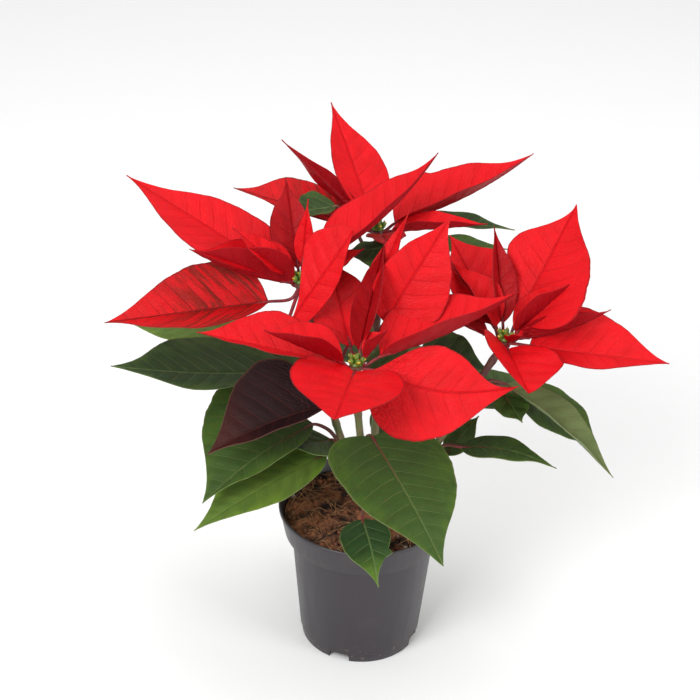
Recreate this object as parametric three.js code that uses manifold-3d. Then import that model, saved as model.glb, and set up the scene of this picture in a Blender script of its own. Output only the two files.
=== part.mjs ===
// A poinsettia (Euphorbia pulcherrima) in a 12 cm nursery pot.
// Millimetres, +Z up. The origin is the centre of the pot's underside, on the surface it stands on.
// The plant was pinched once, so four shoots rise from one short trunk. Each shoot ends in a head:
// a whorl of red bracts round a knot of yellow-green cyathia. Green leaves sit lower on the shoots.
import * as THREE from 'three';
import { mergeVertices } from 'three/addons/utils/BufferGeometryUtils.js';
import Module from 'manifold-3d';

const wasm = await Module();
wasm.setup();

// ---------------------------------------------------------------- driving dimensions
const GAP = 0.3;                 // air left between two pieces that touch
const POT_SIDES = 36;
const POT = {
  footRadius: 41.5,              // outside of the foot ring
  footHeight: 7,
  shoulderRadius: 50.5,          // wall just under the rim band
  shoulderHeight: 88,
  bandRadius: 55.5,              // lower edge of the rim band
  rimRadius: 60,
  height: 110,
  wall: 1.6,
  centreRadius: 28,              // flat middle of the floor, which stands on the surface
  channelRadius: 31,             // raised drainage channel round it
  channelHeight: 6,
};
const NOTCH = {
  count: 4,
  firstBearing: -110,
  width: 15,
  height: 5.8,
  corner: 2.5,
  inner: 34,
  outer: 48,
};
const SOIL = { edgeRadius: 55.9, edgeHeight: 101, crown: 3, lump: 1.2, rings: 6 };
const TRUNK = { radius: 4.2, bottom: 84, top: 120, sides: 10 };
const SHOOT = { radius: 2.9, sides: 8, steps: 10 };
const BLADE = {
  thickness: 0.8,
  rows: [0, 0.08, 0.21, 0.37, 0.54, 0.71, 0.87, 1],
  narrow: 18,                    // a half has one strip where both are under this
  slim: 10,                      // or where either is under this
  endWidth: 0.5,                 // half width at the two ends
};
const DRIP = { start: 0.6, loss: 0.5 };  // where a blade's outline starts to be drawn out, and how much
const TOOTH_REACH = 0.07;          // how far a tooth spreads along the blade, as a share of its length
const STALK = { radius: 1.1, sides: 5, sunk: 0.1, knee: 0.1 };
const HUB = { radius: 4.6, height: 5, sides: 10 };
const CYATHIA = {
  count: 5,
  ringRadius: 3.2,
  budRadius: 1.9,
  budHeight: 6.2,
  budStagger: 0.4,               // step in height from one outer bud to the next
  middleRise: 2,
  diskRadius: 4.2,
  diskHeight: 2,
  diskSides: 8,
  headroom: 4,                   // kept free above the buds
};

// ---------------------------------------------------------------- finishes
const finish = (color, roughness) => new THREE.MeshStandardMaterial({ color, roughness, metalness: 0 });
const FINISH = {
  bract: finish(0xd8141c, 0.55),
  leaf: finish(0x3d5a2c, 0.55),
  purpleLeaf: finish(0x3c2026, 0.55),
  stem: finish(0x6f7040, 0.6),
  cyathia: finish(0x9aa62c, 0.5),
  soil: finish(0x4a2c1a, 1),
  pot: finish(0x454346, 0.5),
};

// ---------------------------------------------------------------- where everything grows
// Heads: the place where a shoot ends and its bracts are attached.
const HEADS = {
  left: [-48, 23, 272],
  front: [-9, -36, 245],
  back: [3, 79, 284],
  right: [90, 0, 246],
};

// Shoots: the axis of each, from inside the trunk to its head.
const SHOOTS = {
  left: [[0, 0, 112], [-4, 1, 125], [-13, 2, 150], [-23, 6, 179], [-40, 16, 248], HEADS.left],
  front: [[0, 0, 112], [1, -2, 125], [-5, -10, 179], [-8, -20, 215], HEADS.front],
  back: [[0, 0, 112], [4, 6, 125], [6, 20, 159], [5, 44, 205], [4, 68, 255], HEADS.back],
  right: [[0, 0, 112], [8, 0, 122], [40, -3, 152], [76, -2, 220], HEADS.right],
};

// A blade is a bract or a leaf. Its numbers, all with these defaults:
const BLADE_DEFAULTS = {
  from: [0, 0, 0],               // where its stalk starts, from the heart of the head
  stalk: 12,                     // bare length before the blade begins
  width: 40,
  roll: 0,                       // lean of the upper face to the right, seen from base to tip
  bow: 0,                        // rise of the midrib above the straight line, halfway along
  sway: 0,                       // the same as bow, to the right
  left: 10,                      // fold of each half up from flat
  right: 10,
  sweepLeft: 0.15,               // slant of each half towards the tip
  sweepRight: 0.15,
  lobeLeft: 0,                   // how far each half reaches back beside the stalk
  lobeRight: 0,
  root: 0.75,                    // outline: under 1 is full at the base
  point: 1.25,                   // outline: over 1 is drawn out at the tip
  leftShape: null,               // half width, root and point of one half, where the halves differ
  rightShape: null,
  teeth: [],                     // coarse teeth: which half (-1 left, 1 right), place, added width
};

// Bracts of each head: bearing in degrees from +X towards +Y, climb above level, and reach from
// the heart of the head to the tip.
const BRACTS = {
  left: [
    {
      bearing: 159, climb: 23, reach: 140, stalk: 18, left: 5, right: 28, leftShape: [32, 0.65, 1.15],
      rightShape: [26, 0.4, 1.25],
    },
    { bearing: 184, climb: 44, reach: 63, width: 22, roll: -20, left: 15, right: 15 },
    {
      bearing: -173, climb: 22, reach: 80, stalk: 6, width: 50, bow: -4, left: 78, right: 60,
      root: 0.4, point: 1.1,
    },
    {
      from: [-6, -3, -9], bearing: -172, climb: -6, reach: 126, stalk: 16, left: 12, right: 44,
      leftShape: [33, 0.6, 1.1], rightShape: [33, 0.4, 1.05], sweepRight: 0.1,
    },
    {
      from: [-8, -27, -17], bearing: 19, climb: 56, reach: 80, stalk: 2, roll: 40, left: 0, right: 10,
      leftShape: [28, 1.9, 0.4], rightShape: [14, 0.5, 0.8], sweepLeft: 0, sweepRight: 0,
    },
    { bearing: 83, climb: 62, reach: 58, stalk: 14, width: 14, left: 20, right: 20, point: 1.7 },
    {
      bearing: 104, climb: 46, reach: 76, left: 25, right: 25, leftShape: [19, 0.7, 1.4],
      rightShape: [13, 0.75, 1.4],
    },
    { bearing: 25, climb: 22, reach: 50, stalk: 14, width: 20, left: 20, right: 20 },
    {
      bearing: 26, climb: 39, reach: 128, stalk: 28, bow: -7, left: 20, right: 85,
      leftShape: [27, 0.35, 1.1], rightShape: [4, 0.6, 1.2],
    },
  ],
  front: [
    {
      bearing: 174, climb: 9, reach: 107, stalk: 26, left: 28, right: 24, leftShape: [24, 0.6, 1.25],
      rightShape: [30, 0.55, 1.25],
    },
    {
      bearing: -173, climb: 27, reach: 68, stalk: 10, left: 62, right: 45, leftShape: [15, 0.6, 1.2],
      rightShape: [19, 0.6, 1.2],
    },
    {
      bearing: -98, climb: 11, reach: 90, stalk: 8, left: 5, right: 16, leftShape: [36, 0.85, 1],
      rightShape: [38, 0.65, 0.65], sweepLeft: 0, sweepRight: 0, lobeLeft: 1, lobeRight: 1.2,
    },
    {
      bearing: -7, climb: -1, reach: 107, stalk: 10, roll: 48, sway: 9, left: 5, right: 5,
      leftShape: [29, 1.5, 2.2], rightShape: [37, 0.4, 1], sweepRight: -0.1,
    },
    {
      from: [0, 18, -11], bearing: 37, climb: 51, reach: 119, stalk: 36, roll: 38, left: 8, right: 8,
      leftShape: [21, 0.4, 1.1], rightShape: [30, 0.5, 1.2], sweepLeft: 0.15, sweepRight: 0,
    },
    {
      bearing: 15, climb: 23, reach: 119, stalk: 18, bow: -6, left: 24, right: 72,
      leftShape: [34, 0.5, 1.35], rightShape: [13, 0.6, 1.3],
    },
    { bearing: 104, climb: 21, reach: 98, stalk: 18, width: 46, left: 12, right: 12, root: 0.6 },
    {
      bearing: 76, climb: 40, reach: 92, stalk: 12, left: 40, right: 65, leftShape: [13, 0.6, 1.3],
      rightShape: [22, 0.6, 1.3],
    },
    { bearing: 14, climb: 53, reach: 34, stalk: 9, width: 18, left: 40, right: 70 },
    {
      from: [-10, 20, -10], bearing: 53, climb: 51, reach: 113, stalk: 42, width: 17, left: 20,
      right: 20, point: 1.5,
    },
  ],
  back: [
    {
      bearing: 122, climb: 47, reach: 97, stalk: 12, left: 20, right: 0, leftShape: [20, 0.6, 1.1],
      rightShape: [24, 0.6, 1.3], sweepRight: 0,
    },
    { bearing: 155, climb: 35, reach: 92, stalk: 12, width: 20, roll: 75, point: 1.4 },
    { bearing: 172, climb: 13, reach: 104, stalk: 20, width: 46, left: 20, right: 32 },
    {
      bearing: 16, climb: 24, reach: 121, stalk: 14, bow: -6, left: 31, right: 50,
      leftShape: [28, 0.42, 1.15], rightShape: [14, 0.6, 1.2], teeth: [[-1, 0.26, 0.12]],
    },
    {
      bearing: -14, climb: 14, reach: 79, stalk: 10, left: 35, right: 80, leftShape: [13, 0.6, 1.2],
      rightShape: [6, 0.6, 1.2],
    },
    { bearing: -78, climb: 18, reach: 55, stalk: 10, width: 28, left: 15, right: 15 },
  ],
  right: [
    {
      bearing: 52, climb: 45, reach: 106, stalk: 16, leftShape: [29, 2.2, 2],
      rightShape: [43, 0.32, 0.85], sweepLeft: 0, sweepRight: 0,
    },
    {
      bearing: -7, climb: -2, reach: 110, stalk: 17, left: 30, right: 0, leftShape: [34, 0.55, 1.1],
      rightShape: [18, 0.6, 1.1], sweepLeft: 0,
    },
    { bearing: 15, climb: 43, reach: 62, stalk: 10, width: 30, left: 50, right: 75, root: 0.6 },
    { bearing: 6, climb: 19, reach: 74, stalk: 10, width: 30, bow: -4, left: 40, right: 80, root: 0.5 },
    {
      bearing: -78, climb: -1, reach: 61, stalk: 8, left: 12, right: 38, leftShape: [30, 0.65, 0.5],
      rightShape: [22, 0.45, 0.8], sweepLeft: 0, sweepRight: 0, lobeLeft: 0.3, lobeRight: 1.2,
    },
    {
      bearing: 99, climb: 47, reach: 80, stalk: 14, width: 25, left: 60, right: 30, root: 0.6,
      point: 1.2,
    },
    { bearing: -60, climb: 40, reach: 26, stalk: 6, width: 14, left: 30, right: 30 },
    {
      bearing: 124, climb: 36, reach: 84, stalk: 14, left: 15, right: 15, leftShape: [24, 0.6, 1.2],
      rightShape: [33, 0.5, 1],
    },
    { bearing: 138, climb: 40, reach: 66, width: 36, left: 50, right: 40, root: 0.6 },
    { bearing: 170, climb: 20, reach: 46, width: 22, left: 30, right: 35 },
  ],
};

// Green leaves: the shoot each grows on and the height where its stalk leaves it, then the two ends
// of the blade.
const LEAVES = {
  leaf_front: {
    shoot: 'front', height: 166, base: [3, -22, 182], tip: [52, -112, 143], bow: 4, left: 5, right: 5,
    leftShape: [41, 0.4, 1], rightShape: [42, 0.45, 0.85], sweepLeft: 0, sweepRight: -0.3,
  },
  leaf_young: {
    shoot: 'front', height: 123, base: [-1, -30, 118], tip: [11, -84, 102], bow: 5, left: 5, right: 5,
    leftShape: [16, 0.5, 1.6], rightShape: [20, 0.5, 1.1], teeth: [[-1, 0.57, 0.45]],
  },
  leaf_left_high: {
    shoot: 'left', height: 212, base: [-58, 8, 212], tip: [-172, -20, 230], bow: -3, left: 5, right: 5,
    leftShape: [24, 1.05, 1.25], rightShape: [42, 0.6, 1.1],
  },
  leaf_left_pale: {
    shoot: 'left', height: 215, base: [-74, 70, 208], tip: [-178, 75, 209], left: 5, right: 5,
    leftShape: [32, 0.6, 1], rightShape: [14, 0.6, 1.1],
  },
  leaf_purple: {
    shoot: 'left', height: 178, base: [-24, -20, 206], tip: [-105, -60, 189], bow: 5, left: 10,
    right: 45, leftShape: [14, 0.9, 1], rightShape: [41, 0.6, 1.05], sweepRight: 0, purple: true,
  },
  leaf_left_mid: {
    shoot: 'left', height: 160, base: [-37, -4, 178], tip: [-108, -68, 155], bow: 6, left: 0,
    right: 15, leftShape: [14, 0.7, 1.2], rightShape: [62, 0.3, 1], sweepRight: 0.05,
  },
  leaf_left_low: {
    shoot: 'left', height: 140, base: [-27, -14, 161], tip: [-113, -76, 138], bow: 3, left: 5,
    right: 5, leftShape: [22, 0.7, 1.2], rightShape: [30, 0.6, 1.1],
  },
  leaf_left_inner: {
    shoot: 'left', height: 150, base: [-24, 0, 163], tip: [-54, -26, 174], width: 54, left: 5,
    right: 5,
  },
  leaf_right_high: {
    shoot: 'right', height: 216, base: [92, -8, 218], tip: [165, -50, 174], bow: 5, left: 30,
    right: 40, leftShape: [16, 0.6, 1.1], rightShape: [18, 0.6, 1.1],
  },
  leaf_right_behind: {
    shoot: 'right', height: 208, base: [97, 4, 210], tip: [157, -20, 177], left: 5, right: 5,
    leftShape: [27, 0.6, 0.7], rightShape: [20, 0.6, 1.1],
  },
  leaf_right_small: {
    shoot: 'right', height: 200, base: [90, -12, 214], tip: [103, -34, 205], width: 26, left: 5,
    right: 5,
  },
  leaf_right_low: {
    shoot: 'right', height: 160, base: [65, -14, 170], tip: [129, -30, 166], width: 29, bow: 6,
    left: 5, right: 5, root: 0.5,
  },
  leaf_right_inner: {
    shoot: 'right', height: 146, base: [55, -4, 156], tip: [77, 10, 180], width: 27, left: 5, right: 5,
  },
  leaf_centre: {
    shoot: 'front', height: 200, base: [34, 4, 231], tip: [82, 16, 213], left: 30, right: 5,
    leftShape: [26, 0.5, 0.9], rightShape: [10, 0.6, 1.1],
  },
  leaf_centre_small: {
    shoot: 'front', height: 190, base: [-2, 0, 218], tip: [29, 14, 232], width: 30, left: 5, right: 5,
  },
  leaf_back_left: {
    shoot: 'back', height: 256, base: [-26, 68, 309], tip: [-54, 61, 307], left: 5, right: 5,
    leftShape: [10, 0.6, 1.1], rightShape: [22, 0.6, 1],
  },
  leaf_back_front: {
    shoot: 'back', height: 236, base: [16, 60, 284], tip: [-20, 50, 283], left: 5, right: 5,
    leftShape: [32, 0.6, 1.1], rightShape: [10, 0.6, 1.1],
  },
  leaf_back_right: {
    shoot: 'back', height: 264, base: [27, 92, 284], tip: [99, 94, 281], bow: 3, left: 5, right: 5,
    leftShape: [16, 0.5, 1.2], rightShape: [8, 0.6, 1.1],
  },
  leaf_back_low: {
    shoot: 'back', height: 244, base: [35, 66, 284], tip: [93, 66, 281], width: 26, left: 5, right: 5,
  },
  // The side away from the front of the plant.
  leaf_rear_left: {
    shoot: 'left', height: 190, base: [-44, 34, 196], tip: [-110, 92, 182], width: 62, bow: 6, left: 8,
    right: 8,
  },
  leaf_rear_mid: {
    shoot: 'back', height: 180, base: [-4, 56, 190], tip: [-40, 140, 170], width: 64, bow: 6, left: 8,
    right: 8,
  },
  leaf_rear_right: {
    shoot: 'back', height: 165, base: [22, 44, 176], tip: [76, 120, 158], width: 66, bow: 6, left: 8,
    right: 8,
  },
  leaf_rear_side: {
    shoot: 'right', height: 176, base: [70, 16, 184], tip: [128, 72, 166], width: 58, bow: 5, left: 8,
    right: 8,
  },
  leaf_rear_low: {
    shoot: 'back', height: 140, base: [8, 28, 146], tip: [58, 98, 120], width: 52, bow: 5, left: 8,
    right: 8,
  },
};

// ---------------------------------------------------------------- small helpers
const vector = ([x, y, z]) => new THREE.Vector3(x, y, z);
const radians = THREE.MathUtils.degToRad;

function headingOf(bearing, climb) {
  const level = Math.cos(radians(climb));
  return vector([
    level * Math.cos(radians(bearing)),
    level * Math.sin(radians(bearing)),
    Math.sin(radians(climb)),
  ]);
}

// A solid from points and triangles that face outwards.
function solidFrom(points, triangles) {
  return new wasm.Manifold(new wasm.Mesh({
    numProp: 3,
    vertProperties: new Float32Array(points.flatMap((p) => [p.x, p.y, p.z])),
    triVerts: new Uint32Array(triangles.flat()),
  }));
}

// A solid from a closed three.js geometry. Triangles with no area, at a lathe's axis, are left out.
function solidOf(geometry) {
  geometry.deleteAttribute('normal');
  geometry.deleteAttribute('uv');
  const merged = mergeVertices(geometry, 1e-4);
  const position = merged.getAttribute('position');
  const points = Array.from({ length: position.count }, (_, i) => (
    new THREE.Vector3().fromBufferAttribute(position, i)));
  const triangles = [];
  for (let i = 0; i < merged.index.count; i += 3) {
    const [a, b, c] = [0, 1, 2].map((k) => merged.index.getX(i + k));
    if (a !== b && b !== c && c !== a) triangles.push([a, b, c]);
  }
  return solidFrom(points, triangles);
}

const joined = (solids) => solids.reduce((whole, next) => whole.add(next));

// The largest body of a solid: a cut can leave a loose scrap, which is dropped.
function mainBody(solid) {
  const bodies = solid.decompose();
  return bodies.reduce((best, next) => (next.volume() > best.volume() ? next : best));
}

function meshOf(name, solid, material) {
  const { vertProperties, triVerts } = mainBody(solid).getMesh();
  const geometry = new THREE.BufferGeometry();
  geometry.setAttribute('position', new THREE.BufferAttribute(vertProperties, 3));
  geometry.setIndex(new THREE.BufferAttribute(triVerts, 1));
  geometry.computeVertexNormals();
  const mesh = new THREE.Mesh(geometry, material);
  mesh.name = name;
  return mesh;
}

// A grid of points wrapped round as a tube, with both ends closed.
function closedTube(rings) {
  const sides = rings[0].length;
  const points = rings.flat();
  const triangles = [];
  for (let i = 0; i + 1 < rings.length; i += 1) {
    for (let j = 0; j < sides; j += 1) {
      const a = i * sides + j;
      const b = i * sides + ((j + 1) % sides);
      triangles.push([a, b, b + sides], [a, b + sides, a + sides]);
    }
  }
  const last = (rings.length - 1) * sides;
  for (let j = 1; j + 1 < sides; j += 1) {
    triangles.push([0, j + 1, j], [last, last + j, last + j + 1]);
  }
  return solidFrom(points, triangles);
}

// A round bar along a path of points, carried without twist.
function bar(path, radius, sides) {
  const last = path.length - 1;
  const steps = path.map((_, i) => (
    path[Math.min(i + 1, last)].clone().sub(path[Math.max(i - 1, 0)]).normalize()));
  let side = new THREE.Vector3(0, 0, 1).cross(steps[0]);
  if (side.length() < 0.1) side = new THREE.Vector3(1, 0, 0);
  const rings = path.map((point, i) => {
    side.addScaledVector(steps[i], -side.dot(steps[i])).normalize();
    const other = new THREE.Vector3().crossVectors(steps[i], side);
    return Array.from({ length: sides }, (_, j) => {
      const turn = (2 * Math.PI * j) / sides;
      return point.clone()
        .addScaledVector(side, radius * Math.cos(turn))
        .addScaledVector(other, radius * Math.sin(turn));
    });
  });
  return closedTube(rings);
}

// An upright cylinder that stands on the height given.
function upright(radius, height, sides, [x, y], bottom) {
  const geometry = new THREE.CylinderGeometry(radius, radius, height, sides);
  geometry.rotateX(Math.PI / 2);
  geometry.translate(x, y, bottom + height / 2);
  return solidOf(geometry);
}

// ---------------------------------------------------------------- blades
// Half width from base to tip, as a share of the widest. The last stretch is drawn out finer.
const outline = (t, root, point) => {
  const widest = root / (root + point);
  const last = THREE.MathUtils.smoothstep(t, DRIP.start, 1);
  return (t / widest) ** root * ((1 - t) / (1 - widest)) ** point * (1 - DRIP.loss * last);
};

// Half width, root and point of the blade's half on the given side of its midrib.
function halfShape(blade, across) {
  const own = across < 0 ? blade.leftShape : blade.rightShape;
  return own ?? [blade.width / 2, blade.root, blade.point];
}

// One point of a blade's middle surface: t runs from base to tip, across from -1 (left) to 1 (right).
function bladePoint(blade, t, across) {
  const { axis, upward, rightward, base, length } = blade;
  const arch = Math.sin(Math.PI * t);
  const [width, root, point] = halfShape(blade, across);
  const tooth = blade.teeth.reduce((sum, [hand, at, size]) => (
    sum + (hand === Math.sign(across) ? size * Math.max(0, 1 - Math.abs(t - at) / TOOTH_REACH) : 0)), 0);
  const half = Math.max(width * outline(t, root, point) * (1 + tooth), BLADE.endWidth);
  const reach = half * Math.abs(across);
  const fold = radians(across < 0 ? blade.left : blade.right);
  const sweep = across < 0 ? blade.sweepLeft : blade.sweepRight;
  const lobe = across < 0 ? blade.lobeLeft : blade.lobeRight;
  const slant = (sweep - lobe * (1 - t) ** 2) * reach;
  const rise = 0.75 + 0.25 * Math.abs(across);
  return base.clone()
    .addScaledVector(axis, length * t + slant)
    .addScaledVector(rightward, blade.sway * arch + Math.sign(across) * reach * Math.cos(fold))
    .addScaledVector(upward, blade.bow * arch + reach * Math.sin(fold) * rise);
}

// Fills in a blade's defaults and its own axes.
function bladeOf(spec, base, axis, length) {
  const blade = { ...BLADE_DEFAULTS, ...spec, base, axis, length };
  blade.upward = new THREE.Vector3(0, 0, 1).addScaledVector(axis, -axis.z).normalize();
  blade.upward.applyAxisAngle(axis, radians(blade.roll));
  blade.rightward = new THREE.Vector3().crossVectors(axis, blade.upward);
  return blade;
}

function bladeSolid(blade) {
  const widths = [-1, 1].map((hand) => halfShape(blade, hand)[0]);
  const strips = Math.max(...widths) < BLADE.narrow || Math.min(...widths) < BLADE.slim ? 1 : 2;
  const columns = 2 * strips + 1;
  const grid = BLADE.rows.map((t) => Array.from({ length: columns }, (_, j) => (
    bladePoint(blade, t, j / strips - 1))));
  const faces = [[], []];
  const lastRow = grid.length - 1;
  const lastColumn = columns - 1;
  grid.forEach((row, i) => row.forEach((point, j) => {
    const along = grid[Math.min(i + 1, lastRow)][j].clone().sub(grid[Math.max(i - 1, 0)][j]);
    const over = row[Math.min(j + 1, lastColumn)].clone().sub(row[Math.max(j - 1, 0)]);
    const outward = over.cross(along).normalize();
    faces[0].push(point.clone().addScaledVector(outward, BLADE.thickness / 2));
    faces[1].push(point.clone().addScaledVector(outward, -BLADE.thickness / 2));
  }));
  const under = faces[0].length;
  const triangles = [];
  for (let i = 0; i < lastRow; i += 1) {
    for (let j = 0; j < lastColumn; j += 1) {
      const a = i * columns + j;
      const b = a + columns;
      triangles.push([a, a + 1, b + 1], [a, b + 1, b]);
      triangles.push([under + a, under + b + 1, under + a + 1], [under + a, under + b, under + b + 1]);
    }
  }
  const rim = [];
  for (let j = 0; j < lastColumn; j += 1) rim.push(j);
  for (let i = 0; i < lastRow; i += 1) rim.push(i * columns + lastColumn);
  for (let j = lastColumn; j > 0; j -= 1) rim.push(lastRow * columns + j);
  for (let i = lastRow; i > 0; i -= 1) rim.push(i * columns);
  rim.forEach((a, k) => {
    const b = rim[(k + 1) % rim.length];
    triangles.push([a, under + a, under + b], [a, under + b, b]);
  });
  return solidFrom(faces.flat(), triangles);
}

// A bract with its stalk, which starts inside the hub and ends sunk in the midrib.
function bractSolid(head, spec) {
  const heart = vector(head);
  const full = { ...BLADE_DEFAULTS, ...spec };
  const axis = headingOf(full.bearing, full.climb);
  const start = heart.clone().add(vector(full.from));
  const base = start.clone().addScaledVector(axis, full.stalk);
  const blade = bladeOf(spec, base, axis, full.reach - full.stalk);
  const shoulder = headingOf(full.bearing, 0).multiplyScalar(HUB.radius).add(start);
  const path = [heart, shoulder, base, bladePoint(blade, STALK.sunk, 0)];
  if (start.distanceTo(heart) > HUB.radius) path.splice(1, 1, start);
  return bladeSolid(blade).add(bar(path, STALK.radius, STALK.sides));
}

function shootCurve(name) {
  return new THREE.CatmullRomCurve3(SHOOTS[name].map(vector), false, 'centripetal');
}

// The point on a shoot's axis at a given height.
function shootAt(name, height) {
  const curve = shootCurve(name);
  let low = 0;
  let high = 1;
  while (high - low > 1e-4) {
    const middle = (low + high) / 2;
    if (curve.getPointAt(middle).z < height) low = middle;
    else high = middle;
  }
  return curve.getPointAt(low);
}

// A green leaf with its stalk, which starts inside the shoot; the shoot's place is cut out later.
function leafSolid(spec) {
  const base = vector(spec.base);
  const tip = vector(spec.tip);
  const axis = tip.clone().sub(base).normalize();
  const blade = bladeOf(spec, base, axis, tip.distanceTo(base));
  const foot = shootAt(spec.shoot, spec.height);
  const knee = foot.clone().lerp(base, 0.5);
  knee.z += STALK.knee * foot.distanceTo(base);
  const path = [foot, knee, base, bladePoint(blade, STALK.sunk, 0)];
  return bladeSolid(blade).add(bar(path, STALK.radius, STALK.sides));
}

// ---------------------------------------------------------------- stem
// Everything above the underside of a head's hub, where the shoot has ended.
const overHead = (head) => (
  upright(4 * HUB.radius, 4 * HUB.height, HUB.sides, head, head[2] - HUB.height / 2 - GAP));

function stemSolid(swell) {
  const trunk = bar(
    [vector([0, 0, TRUNK.bottom - swell]), vector([0, 0, TRUNK.top])],
    TRUNK.radius + swell,
    TRUNK.sides,
  );
  const shoots = Object.keys(SHOOTS).map((name) => (
    bar(shootCurve(name).getSpacedPoints(SHOOT.steps), SHOOT.radius + swell, SHOOT.sides)));
  return joined([trunk, ...shoots]);
}

function stem() {
  const heads = joined(Object.values(HEADS).map(overHead));
  return meshOf('stem', stemSolid(0).subtract(heads), FINISH.stem);
}

// ---------------------------------------------------------------- heads
function hub(head) {
  return upright(HUB.radius, HUB.height, HUB.sides, head, head[2] - HUB.height / 2);
}

// The knot of small flowers that stands on the hub: a disk and a ring of buds round one in the middle.
function cyathiaSolid([x, y, z]) {
  const floor = z + HUB.height / 2 + GAP;
  const parts = [upright(CYATHIA.diskRadius, CYATHIA.diskHeight, CYATHIA.diskSides, [x, y], floor)];
  for (let i = 0; i <= CYATHIA.count; i += 1) {
    const outer = i < CYATHIA.count;
    const turn = (2 * Math.PI * i) / CYATHIA.count;
    const bud = new THREE.SphereGeometry(1, 6, 4);
    bud.rotateX(Math.PI / 2);
    bud.scale(CYATHIA.budRadius, CYATHIA.budRadius, CYATHIA.budHeight / 2);
    bud.translate(
      x + (outer ? CYATHIA.ringRadius * Math.cos(turn) : 0),
      y + (outer ? CYATHIA.ringRadius * Math.sin(turn) : 0),
      floor + CYATHIA.budHeight / 2 + (outer ? CYATHIA.budStagger * (i % 3) : CYATHIA.middleRise),
    );
    parts.push(solidOf(bud));
  }
  return joined(parts);
}

// The room kept free of bracts round the small flowers.
function cyathiaRoom([x, y, z]) {
  const radius = CYATHIA.ringRadius + CYATHIA.budRadius + GAP;
  return upright(radius, CYATHIA.budHeight + CYATHIA.headroom, 12, [x, y], z + HUB.height / 2);
}

// ---------------------------------------------------------------- pot and soil
function lathe(profile) {
  const geometry = new THREE.LatheGeometry(profile.map(([r, z]) => new THREE.Vector2(r, z)), POT_SIDES);
  geometry.rotateX(Math.PI / 2);
  return geometry;
}

function notchSolid(bearing) {
  const { width, height, corner, inner, outer } = NOTCH;
  const side = width / 2;
  const arch = new THREE.Shape();
  arch.moveTo(-side, -1);
  arch.lineTo(side, -1);
  arch.lineTo(side, height - corner);
  arch.absarc(side - corner, height - corner, corner, 0, Math.PI / 2);
  arch.absarc(corner - side, height - corner, corner, Math.PI / 2, Math.PI);
  const geometry = new THREE.ExtrudeGeometry(arch, {
    depth: outer - inner,
    bevelEnabled: false,
    curveSegments: 3,
  });
  geometry.rotateX(Math.PI / 2);
  geometry.translate(0, -inner, 0);
  geometry.rotateZ(radians(bearing + 90));
  return solidOf(geometry);
}

function pot() {
  const { wall, channelHeight, footHeight, height } = POT;
  const channelFloor = channelHeight + wall;
  const body = solidOf(lathe([
    [0, 0],
    [POT.centreRadius, 0],
    [POT.channelRadius, channelHeight],
    [POT.footRadius - 1.6 * wall, channelHeight],
    [POT.footRadius - wall, 0],
    [POT.footRadius, 0],
    [POT.footRadius + 0.5, footHeight],
    [POT.footRadius + 1.5, footHeight + 0.8],
    [POT.shoulderRadius, POT.shoulderHeight],
    [POT.bandRadius, POT.shoulderHeight + 1.2],
    [POT.rimRadius, height - 0.7],
    [POT.rimRadius - 0.5, height],
    [POT.rimRadius - wall, height],
    [POT.bandRadius - wall, POT.shoulderHeight + 1.2 + wall],
    [POT.shoulderRadius - wall, POT.shoulderHeight + wall],
    [POT.footRadius, channelFloor + 0.6],
    [POT.footRadius - 1, channelFloor],
    [POT.channelRadius - 1, channelFloor],
    [POT.centreRadius - 1, wall],
    [0, wall],
  ]));
  const notches = Array.from({ length: NOTCH.count }, (_, i) => (
    notchSolid(NOTCH.firstBearing + (360 * i) / NOTCH.count)));
  return meshOf('pot', body.subtract(joined(notches)), FINISH.pot);
}

function soil() {
  const { wall, channelHeight } = POT;
  const floor = channelHeight + wall + GAP;
  const top = Array.from({ length: SOIL.rings }, (_, i) => (
    [SOIL.edgeRadius * (1 - i / SOIL.rings), SOIL.edgeHeight]));
  const geometry = lathe([
    [0, wall + GAP],
    [POT.centreRadius - 1.2, wall + GAP],
    [POT.channelRadius - 1.2, floor],
    [POT.footRadius - 1.3, floor],
    [POT.footRadius - 0.5, floor + 0.5],
    [POT.shoulderRadius - wall - 0.5, POT.shoulderHeight + wall + 0.5],
    [POT.bandRadius - wall - 0.5, POT.shoulderHeight + 2 * wall + 1.2],
    ...top,
    [0, SOIL.edgeHeight],
  ]);
  const position = geometry.getAttribute('position');
  for (let i = 0; i < position.count; i += 1) {
    const [x, y, z] = [position.getX(i), position.getY(i), position.getZ(i)];
    const inward = 1 - (x * x + y * y) / SOIL.edgeRadius ** 2;
    const lump = Math.sin(0.21 * x + 1.3) * Math.cos(0.17 * y) + 0.6 * Math.sin(0.37 * x - 0.29 * y);
    const lift = SOIL.crown * inward + SOIL.lump * lump * Math.min(1, 4 * inward);
    if (z > SOIL.edgeHeight - 0.01) position.setZ(i, z + lift);
  }
  const depth = TRUNK.top - TRUNK.bottom;
  const hole = upright(TRUNK.radius + GAP, depth, TRUNK.sides, [0, 0], TRUNK.bottom - GAP);
  return meshOf('soil', solidOf(geometry).subtract(hole), FINISH.soil);
}

// ---------------------------------------------------------------- the whole plant
function build() {
  const plant = new THREE.Group();
  plant.add(pot(), soil(), stem());
  const heads = joined(Object.values(HEADS).map(overHead));
  const stemRoom = stemSolid(GAP).subtract(heads);
  for (const [name, head] of Object.entries(HEADS)) {
    const whorl = joined([hub(head), ...BRACTS[name].map((spec) => bractSolid(head, spec))]);
    const cleared = whorl.subtract(cyathiaRoom(head)).subtract(stemRoom);
    plant.add(meshOf(`bracts_${name}`, cleared, FINISH.bract));
    plant.add(meshOf(`cyathia_${name}`, cyathiaSolid(head), FINISH.cyathia));
  }
  for (const [name, spec] of Object.entries(LEAVES)) {
    const material = spec.purple ? FINISH.purpleLeaf : FINISH.leaf;
    plant.add(meshOf(name, leafSolid(spec).subtract(stemRoom), material));
  }
  return plant;
}

export default build();
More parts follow.
